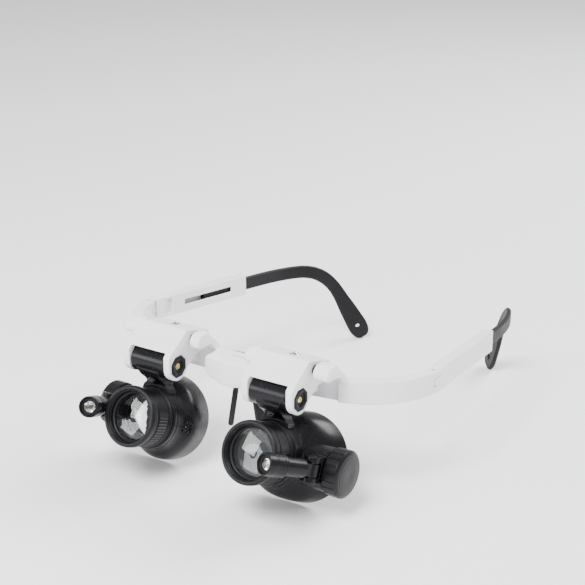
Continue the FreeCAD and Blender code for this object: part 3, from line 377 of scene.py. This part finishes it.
def prism(name, outline, low, high, matrix=None, bevel=0.0):
    """A straight solid over an outline in its own XY plane, with its edges bevelled."""
    bm = bmesh.new()
    base = bm.faces.new([bm.verts.new((x, y, low)) for x, y in outline])
    raised = bmesh.ops.extrude_face_region(bm, geom=[base])
    lifted = [item for item in raised["geom"] if isinstance(item, bmesh.types.BMVert)]
    bmesh.ops.translate(bm, verts=lifted, vec=(0, 0, high - low))
    if bevel:
        rims = [edge for edge in bm.edges if abs(edge.verts[0].co.z - edge.verts[1].co.z) < 1e-6]
        bmesh.ops.bevel(bm, geom=rims, offset=bevel, segments=3, profile=0.5, affect="EDGES")
    return to_mesh(bm, name, matrix)


def band(path, width):
    """The outline of a line of even width that follows the path."""
    half = width / 2
    left, right = [], []
    for index, point in enumerate(path):
        here = Vector(point)
        ahead = Vector(path[min(index + 1, len(path) - 1)]) - Vector(path[max(index - 1, 0)])
        side = Vector((-ahead.y, ahead.x)).normalized() * half
        left.append(tuple(here + side))
        right.append(tuple(here - side))
    return left + right[::-1]


def axes(origin, x, y, z):
    """The matrix of a place in mm with these directions as its own axes."""
    matrix = Matrix((x, y, z)).transposed().to_4x4()
    matrix.translation = origin
    return matrix


def along_x(origin):
    """The matrix of a place in mm whose own Z axis points along X."""
    return axes(origin, Y, Z, X)


def copied(label, node, voxel, rounds):
    """A piece that is the CAD node itself, with its edges softened."""
    piece(label, softened(node_mesh(node), voxel, rounds), node, replaced=(node,))


def loupe_place(name):
    """The loupe's own frame: x to the wearer's left, y up, z forward along the optical axis."""
    joint = joints[f"{name}_lens_cell_turn"]
    forward = Vector(joint["axis"]).normalized()
    return axes(Vector(joint["pos_m"]) / MM, X, forward.cross(X), forward)


# ---------------------------------------------------------------- white parts
# Profiles from here on are (radius, height) corners in mm, in the piece's own frame.
LUGS = (14.8, 50.5)     # how far the front's lugs stand from the middle plane
LUG_REACH = 6.0
LUG_FOOT = 55.5
DECK = 66.2             # height of the carriage's sloping top at its clamp screw
OPEN = 3.0              # how far a groove's cutter stands clear of the surface


def eased(mesh, rounds, weight):
    """The mesh smoothed further, each place by the share that weight gives for its position in mm."""
    obj = scratch(mesh)
    group = obj.vertex_groups.new(name="Ease")
    for vertex in mesh.vertices:
        share = weight(vertex.co / MM)
        if share > 0:
            group.add([vertex.index], share, "REPLACE")
    ease = obj.modifiers.new("Ease", "SMOOTH")
    ease.factor = SMOOTHING
    ease.iterations = rounds
    ease.vertex_group = group.name
    return smooth_shaded(baked(obj))


def build_frame():
    """The white front, with the four lugs rounded like a thumb's end."""
    def lug_share(place):
        away = min(abs(abs(place.x) - lug) for lug in LUGS)
        return max(0.0, min(1.0, (LUG_REACH - away) / 2.0, (place.z - LUG_FOOT) / 2.5))

    bar = eased(softened(node_mesh("front_frame"), 0.34, 8), 60, lug_share)
    piece("frame_bar", bar, "front_frame", replaced=("front_frame",))


def build_carriage(name):
    """The carriage with the three grooves in its top, its clamp screw and its hinge cap."""
    tilt = Vector(joints[f"{name}_loupe_tilt"]["pos_m"]) / MM
    low, high = (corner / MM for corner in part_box(f"{name}_carriage_screw"))
    screw = (low + high) / 2
    slope = Vector((0, 15.7, -4.5)).normalized()
    top = axes(Vector((tilt.x, screw.y, DECK)), X, slope, X.cross(slope))
    arch = [(-4.9, -6.0), (-4.9, 2.5), (-4.5, 4.1), (-3.2, 5.0),
            (3.2, 5.0), (4.5, 4.1), (4.9, 2.5), (4.9, -6.0)]
    grooves = [
        prism("groove", band(arch, 0.55), -0.8, OPEN, top),
        prism("groove", band([(-8.6, 1.2), (-6.0, 1.2)], 0.45), -0.5, OPEN, top),
        prism("groove", band([(8.0, -5.5), (8.0, 4.6)], 0.45), -0.4, OPEN, top),
    ]
    node = f"{name}_carriage"
    piece(f"{node}_shell", softened(carve(node_mesh(node), grooves), 0.22, 6), node, replaced=(node,))
    head = axes(Vector((screw.x, screw.y, high.z)), X, Y, Z)
    build_screw(f"{name}_clamp_screw", f"{node}_screw", head, radius=2.25, length=3.5)
    build_hinge_cap(name, tilt)


def build_screw(label, node, place, radius, length, material=None):
    """A cross-head screw with a domed head whose top stands at the place's origin."""
    shank = radius * 0.6
    head = lathe("screw", [(0, 0), (radius * 0.55, -0.04), (radius, -0.5, 0.4), (radius, -1.1), (shank, -1.15),
                           (shank, -length), (0, -length)], 0.12, 64, place)
    arms = []
    for turn in (35, 125):
        spin = place @ Matrix.Rotation(math.radians(turn), 4, "Z")
        reach, half = radius * 0.62, radius * 0.13
        outline = [(-reach, -half), (reach, -half), (reach, half), (-reach, half)]
        arms.append(prism("slot", outline, -0.75, 1.0, spin))
    piece(label, carve(head, arms), node, material, (node,))


def build_hinge_cap(name, tilt):
    """The eight-sided cap in the wearer's left ear, with the pin's brass end in its recess."""
    low, high = (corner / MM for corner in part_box(f"{name}_hinge_cap"))
    outward = along_x(Vector((high.x, tilt.y, tilt.z)))
    half = (high.z - low.z) / 2
    across = half / math.cos(math.pi / 8)
    corners = [math.pi * (step + 0.5) / 4 for step in range(8)]
    outline = [(across * math.cos(angle), across * math.sin(angle)) for angle in corners]
    cap = prism("cap", outline, low.x - high.x, 0, outward, bevel=0.28)
    recess = lathe("recess", [(0, 1), (3.0, 1), (3.0, -0.55), (1.62, -0.75), (1.62, -4), (0, -4)],
                   0.1, 64, outward)
    piece(f"{name}_hinge_cover", carve(cap, [recess]), f"{name}_hinge_cap", matte, (f"{name}_hinge_cap",))
    length = (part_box(f"{name}_tilt_pin")[1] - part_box(f"{name}_tilt_pin")[0]).x / MM
    pin_end = outward @ Matrix.Translation((0, 0, -0.35))
    pin = lathe("pin", [(0, -0.1), (0.9, -0.1), (1.5, -0.35, 0.3), (1.5, -length), (0, -length)],
                0.1, 48, pin_end)
    slot = prism("slot", [(-1.2, -0.22), (1.2, -0.22), (1.2, 0.22), (-1.2, 0.22)], -0.6, 1.0,
                 pin_end @ Matrix.Rotation(math.radians(50), 4, "Z"))
    piece(f"{name}_hinge_pin_brass", carve(pin, [slot]), f"{name}_tilt_pin", replaced=(f"{name}_tilt_pin",))


def build_temple(name):
    """The temple's sleeve and the ear arm that slides in it."""
    copied(f"{name}_sleeve_shell", f"{name}_temple_sleeve", 0.25, 5)
    copied(f"{name}_ear_arm", f"{name}_temple_arm", 0.28, 8)


# ---------------------------------------------------------------- black parts
GLASS_RADIUS = 11.0
LAMP_AIM = 20.1         # degrees by which a lamp head turns in towards the loupe's axis
DOME_RADIUS = 2.46
RIB_HEIGHT, RIBS_ROUND = 0.28, 60


def build_nose(name):
    """One soft nose pad."""
    copied(f"{name}_nose_cushion", f"{name}_nose_pad", 0.2, 10)


def build_clip():
    """The plate that carries both nose pads."""
    copied("nose_plate", "nose_clip", 0.15, 3)


def build_lens_cell(name):
    """The turning lens cell with its grip band, two lenses, the ring between them and the lock ring."""
    place = loupe_place(name)

    def ribs(radius, height, angle):
        """Two ribbed patches on opposite sides of the grip band."""
        on_band = radius >= 12.9 and -0.6 < height < 5.4
        if not on_band or math.cos(2 * angle + 0.9) < 0.1:
            return 0.0
        return RIB_HEIGHT * (0.5 + 0.5 * math.cos(angle * RIBS_ROUND))

    shell = lathe("cell", [
        (9.6, -9.8), (12.33, -9.8), (12.33, -4.1),
        (13.1, -4.1), (13.5, -3.7), (13.5, -3.2), (13.0, -2.9), (13.0, -2.4), (13.45, -2.1), (13.45, -1.6),
        (13.05, -1.2), (13.05, -0.7), (13.05, 0.2), (13.05, 1.2), (13.05, 2.4), (13.05, 3.6), (13.05, 4.8),
        (13.05, 5.5), (12.75, 5.8), (12.75, 6.5), (13.2, 6.8), (13.6, 7.2, 0.4), (13.6, 10.0, 0.6),
        (13.0, 10.6, 0.5), (11.95, 10.6, 0.3), (11.75, 9.9), (11.45, 9.8), (11.4, 8.9), (11.2, 8.8),
        (11.2, -8.8), (9.6, -8.8),
    ], 0.2, 480, place, ribs)
    piece(f"{name}_grip_ring", shell, f"{name}_lens_cell", grip, (f"{name}_lens_cell",))
    for label, low, bulge in (("front_lens", 5.0, 1.6), ("rear_lens", -8.8, 1.4)):
        crown = []
        for step in range(13):
            r = GLASS_RADIUS * (1 - step / 12)
            crown.append((r, low + 1.2 + bulge * (1 - (r / GLASS_RADIUS) ** 2)))
        glass = lathe("lens", [(0, low), (GLASS_RADIUS, low)] + crown, 0.08, 120, place)
        piece(f"{name}_{label}_glass", glass, f"{name}_{label}", replaced=(f"{name}_{label}",))
    outer, inner, notch = 11.17, 10.1, 10.45
    spacer = [(outer, -7.58), (outer, 4.98), (inner, 4.98)]
    height = 4.4
    while height > -6.8:
        spacer += [(inner, height), (notch, height - 0.35)]
        height -= 0.9
    spacer += [(inner, -7.3)]
    piece(f"{name}_baffle", lathe("baffle", spacer, 0.05, 96, place), f"{name}_spacer_ring",
          replaced=(f"{name}_spacer_ring",))
    lock = [(outer, 6.22), (outer, 7.4), (10.9, 7.4), (10.15, 6.95, 0.3), (10.15, 6.5)]
    piece(f"{name}_lock_ring", lathe("lock", lock, 0.12, 120, place), f"{name}_retaining_ring",
          replaced=(f"{name}_retaining_ring",))


def build_cup(name, side):
    """The flared cup: outer skin, thick rolled rim and inner skin, with the vent holes cut through."""
    place = loupe_place(name)
    shift, saddle, wall = 5.2, 2.0, 1.4
    # Height along the axis, radius, and the share of the sideways shift reached there.
    stations = [(-8.6, 14.0, 0.0), (-10.4, 14.25, 0.0), (-12.0, 14.95, 0.04), (-13.4, 16.0, 0.08),
                (-15.0, 17.1, 0.15), (-17.2, 18.1, 0.25), (-20.0, 18.85, 0.42), (-24.5, 19.5, 0.70),
                (-30.3, 19.9, 1.0)]
    front, depth = stations[0][0], stations[-1][0]

    def along(t):
        """Radius and share of the shift at t, from the body to the rim, on a smooth curve."""
        height = front + (depth - front) * t
        last = len(stations) - 1
        span = next((i for i in range(last) if height >= stations[i + 1][0]), last - 1)
        one, two = stations[span], stations[span + 1]
        before, after = stations[max(span - 1, 0)], stations[min(span + 2, last)]
        h = min(max((height - one[0]) / (two[0] - one[0]), 0.0), 1.0)
        values = []
        for column in (1, 2):
            lead = (two[column] - before[column]) / (two[0] - before[0]) * (two[0] - one[0])
            trail = (after[column] - one[column]) / (after[0] - one[0]) * (two[0] - one[0])
            values.append((2 * h ** 3 - 3 * h ** 2 + 1) * one[column] + (h ** 3 - 2 * h ** 2 + h) * lead
                          + (3 * h ** 2 - 2 * h ** 3) * two[column] + (h ** 3 - h ** 2) * trail)
        return values

    def point(t, angle, inset):
        """The cup's surface at t and angle, moved in by the inset, with the rim's saddle."""
        r, share = along(t)
        end = depth + saddle * math.sin(angle) ** 2
        z = front + (end - front) * t
        return ((r - inset) * math.cos(angle) + side * shift * share, (r - inset) * math.sin(angle), z)

    segments = 144
    steps = [0.022 * step for step in range(22)] + [0.5, 0.56, 0.63, 0.7, 0.77, 0.84, 0.9, 0.94]
    lip = [(0.955, -0.0), (0.975, 0.02), (0.992, 0.12), (1.0, 0.45), (1.0, 0.95), (0.992, 1.45), (0.975, 1.85),
           (0.95, 2.0), (0.93, 1.75)]
    skin = [(t, 0.0) for t in steps] + lip + [(t, wall) for t in reversed(steps[3:-1])] + [(0.0, wall)]
    bm = bmesh.new()
    rows = []
    for t, inset in skin:
        rows.append([bm.verts.new(point(t, 2 * math.pi * step / segments, inset)) for step in range(segments)])
    for one, two in zip(rows, rows[1:] + rows[:1]):
        for step in range(segments):
            following = (step + 1) % segments
            bm.faces.new((one[step], two[step], two[following], one[following]))
    cup = to_mesh(bm, "cup", place)
    ring = [2 * math.pi * index / 7 for index in range(7)]
    holes = [(2.2 * math.cos(angle), 2.2 * math.sin(angle)) for angle in ring] + [(0, 0)]
    inward, outward = (-22, -2) if side > 0 else (2, 22)
    vents = []
    for across, up in holes:
        turn = along_x(Vector((0, up - 0.6, across - 13.0)))
        vents.append(lathe("vent", [(0, inward), (0.6, inward), (0.6, outward), (0, outward)],
                           0.01, 20, place @ turn))
    piece(f"{name}_eyecup_shell", carve(cup, vents), f"{name}_eyecup", replaced=(f"{name}_eyecup",))
    body = lathe("body", [(12.4, -4.4), (12.4, -8.0), (12.6, -8.6), (14.0, -8.6), (14.0, -7.2), (13.8, -7.0),
                          (13.8, -6.7), (14.0, -6.5), (14.0, -4.9, 0.3), (13.6, -4.4)], 0.12, 144, place)
    piece(f"{name}_barrel_shell", body, f"{name}_loupe_body", replaced=(f"{name}_loupe_body",))


def build_barrel(name):
    """The hinge barrel and its neck, flared to the foot that sits on the loupe body."""
    place = loupe_place(name)
    low, high = (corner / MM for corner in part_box(f"{name}_hinge_barrel"))
    tilt = Vector(joints[f"{name}_loupe_tilt"]["pos_m"]) / MM
    drop = (place.inverted() @ tilt).y
    half = (high.x - low.x) / 2
    bore, room = 1.65, 13.9
    across = place @ along_x(Vector((0, drop, 0)))
    barrel = lathe("barrel", [(bore, -half), (6.2, -half), (6.2, half), (bore, half)], 0.35, 96, across)
    flare = [(-6.4, drop - 2.5), (-5.6, drop - 5.6), (-4.9, drop - 7.2), (-4.7, drop - 8.4), (-5.3, drop - 9.9),
             (-6.9, drop - 11.4), (-7.4, drop - 13.6)]
    front_outline = flare + [(-x, y) for x, y in reversed(flare)]
    side_outline = [(drop - 1.0, 4.6), (drop - 5.2, 4.4), (drop - 7.2, 2.2), (drop - 8.6, -1.6),
                    (drop - 10.0, -4.0), (drop - 15.0, -4.6), (drop - 15.0, -10.4), (drop - 7.0, -9.8),
                    (drop - 3.0, -4.8), (drop, -3.0)]
    turn = place @ along_x(Vector((0, 0, 0)))
    profile = prism("side", side_outline, -12, 12, turn)
    neck = carve(prism("neck", front_outline, -14, 8, place), [profile], "INTERSECT")
    foot = drop - 8.4
    boss = lathe("boss", [(0, -8), (2.0, -8), (2.0, 0.4), (0, 0.4)], 0.2, 48,
                 place @ Matrix.Translation((0, foot, 0)))
    joined = carve(barrel, [neck, boss], "UNION")
    clear_grip = lathe("grip_room", [(0, -4.35), (room, -4.35), (room, 12), (0, 12)], 0.05, 96, place)
    clear_body = lathe("body_room", [(0, -20), (room, -20), (room, 0), (0, 0)], 0.05, 96, place)
    past = half + 2
    pin_hole = lathe("pin_hole", [(0, -past), (bore, -past), (bore, past), (0, past)], 0.02, 48, across)
    joined = carve(joined, [clear_grip, clear_body, pin_hole])
    node = f"{name}_hinge_barrel"
    piece(f"{name}_neck_shell", softened(joined, 0.2, 8), node, replaced=(node,))
    tip = axes(place @ Vector((0, foot, 0.75)), *(place.to_3x3().transposed()))
    build_screw(f"{name}_foot_screw", f"{name}_neck_screw", tip, radius=1.5, length=3.0, material=blued)


def build_mount(name):
    """The battery tube with its lamp bracket, and the lamp arm."""
    copied(f"{name}_tube_shell", f"{name}_battery_tube", 0.22, 8)
    copied(f"{name}_lamp_shell", f"{name}_lamp_arm", 0.17, 7)


def build_battery_cap(name, side):
    """The knob with wide flats round it and a domed, stepped face."""
    low, high = (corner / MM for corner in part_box(f"{name}_battery_cap"))
    middle = (low + high) / 2
    length = high.x - low.x
    forward = loupe_place(name).to_3x3() @ Z
    out = Vector((side, 0, 0))
    place = axes(Vector((middle.x + side * length / 2, middle.y, middle.z)), forward, out.cross(forward), out)

    def flats(radius, height, angle):
        """Twenty shallow flats round the knob's side."""
        if radius < 9.6 or not -length + 0.9 < height < -1.5:
            return 0.0
        wave = (angle / (2 * math.pi) * 20) % 1.0
        return -0.32 if wave < 0.22 else 0.0

    knob = lathe("knob", [
        (0, -0.05), (5.0, -0.12), (7.6, -0.3), (7.9, -0.48), (8.2, -0.4), (9.2, -0.65, 0.5), (10.1, -1.3, 0.8),
        (10.38, -1.6), (10.38, -length + 1.8), (10.38, -length + 0.8), (10.2, -length + 0.3), (9.1, -length),
        (9.07, -length + 5.2), (0, -length + 5.4),
    ], 0.25, 360, place, flats)
    piece(f"{name}_battery_knob", knob, f"{name}_battery_cap", grip, (f"{name}_battery_cap",))


def build_led(name, side):
    """The lamp head's thick bezel, its reflector and the clear dome."""
    low, high = (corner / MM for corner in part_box(f"{name}_lamp_bezel"))
    ring_middle = (low + high) / 2
    place = loupe_place(name)
    turn = Matrix.Rotation(math.radians(-LAMP_AIM * side), 3, "Y")
    forward = place.to_3x3() @ (turn @ Z)
    across = place.to_3x3() @ (turn @ X)
    head = axes(ring_middle, across, forward.cross(across), forward)
    outer, groove_floor = 4.78, 4.5
    profile = [(4.0, -8.3), (4.45, -8.3), (outer, -7.9)]
    for groove in (-6.4, -4.9, -3.4):
        profile += [(outer, groove - 0.28, 0.05), (groove_floor, groove - 0.14, 0.05),
                    (groove_floor, groove + 0.14, 0.05), (outer, groove + 0.28, 0.05)]
    profile += [(outer, 0.35, 0.5), (4.2, 1.15, 0.4), (3.78, 1.15), (3.78, -1.0)]
    sleeve = lathe("sleeve", profile, 0.15, 96, head)
    piece(f"{name}_lamp_head", sleeve, f"{name}_lamp_arm")
    bezel = lathe("bezel", [(3.74, -1.2), (3.74, 0.9, 0.2), (3.4, 1.2, 0.3), (2.95, 1.15, 0.3), (2.6, 0.5),
                            (2.56, -1.2)], 0.15, 96, head)
    piece(f"{name}_lamp_ring", bezel, f"{name}_lamp_bezel", replaced=(f"{name}_lamp_bezel",))
    cone = lathe("cone", [(2.5, -0.4), (2.5, 0.2), (2.35, 0.2), (1.2, -0.9), (0.0, -0.95), (0.0, -1.25),
                          (2.5, -1.25)], 0.04, 64, head)
    piece(f"{name}_lamp_reflector", cone, f"{name}_led", silvered)
    dome = [(0, -0.85), (1.1, -0.85), (2.2, 0.22), (DOME_RADIUS, 0.25)]
    for step in range(1, 10):
        angle = math.radians(10 * step)
        dome.append((DOME_RADIUS * math.cos(angle), 0.3 + 1.35 * math.sin(angle)))
    piece(f"{name}_lamp_dome", lathe("dome", dome, 0.03, 64, head), f"{name}_led", replaced=(f"{name}_led",))


def main():
    """Builds the studio and every piece."""
    make_camera()
    make_studio()
    paint_nodes()
    build_frame()
    build_clip()
    for name, side in SIDES:
        build_carriage(name)
        build_temple(name)
        build_nose(name)
        build_lens_cell(name)
        build_cup(name, side)
        build_barrel(name)
        build_mount(name)
        build_battery_cap(name, side)
        build_led(name, side)


main()
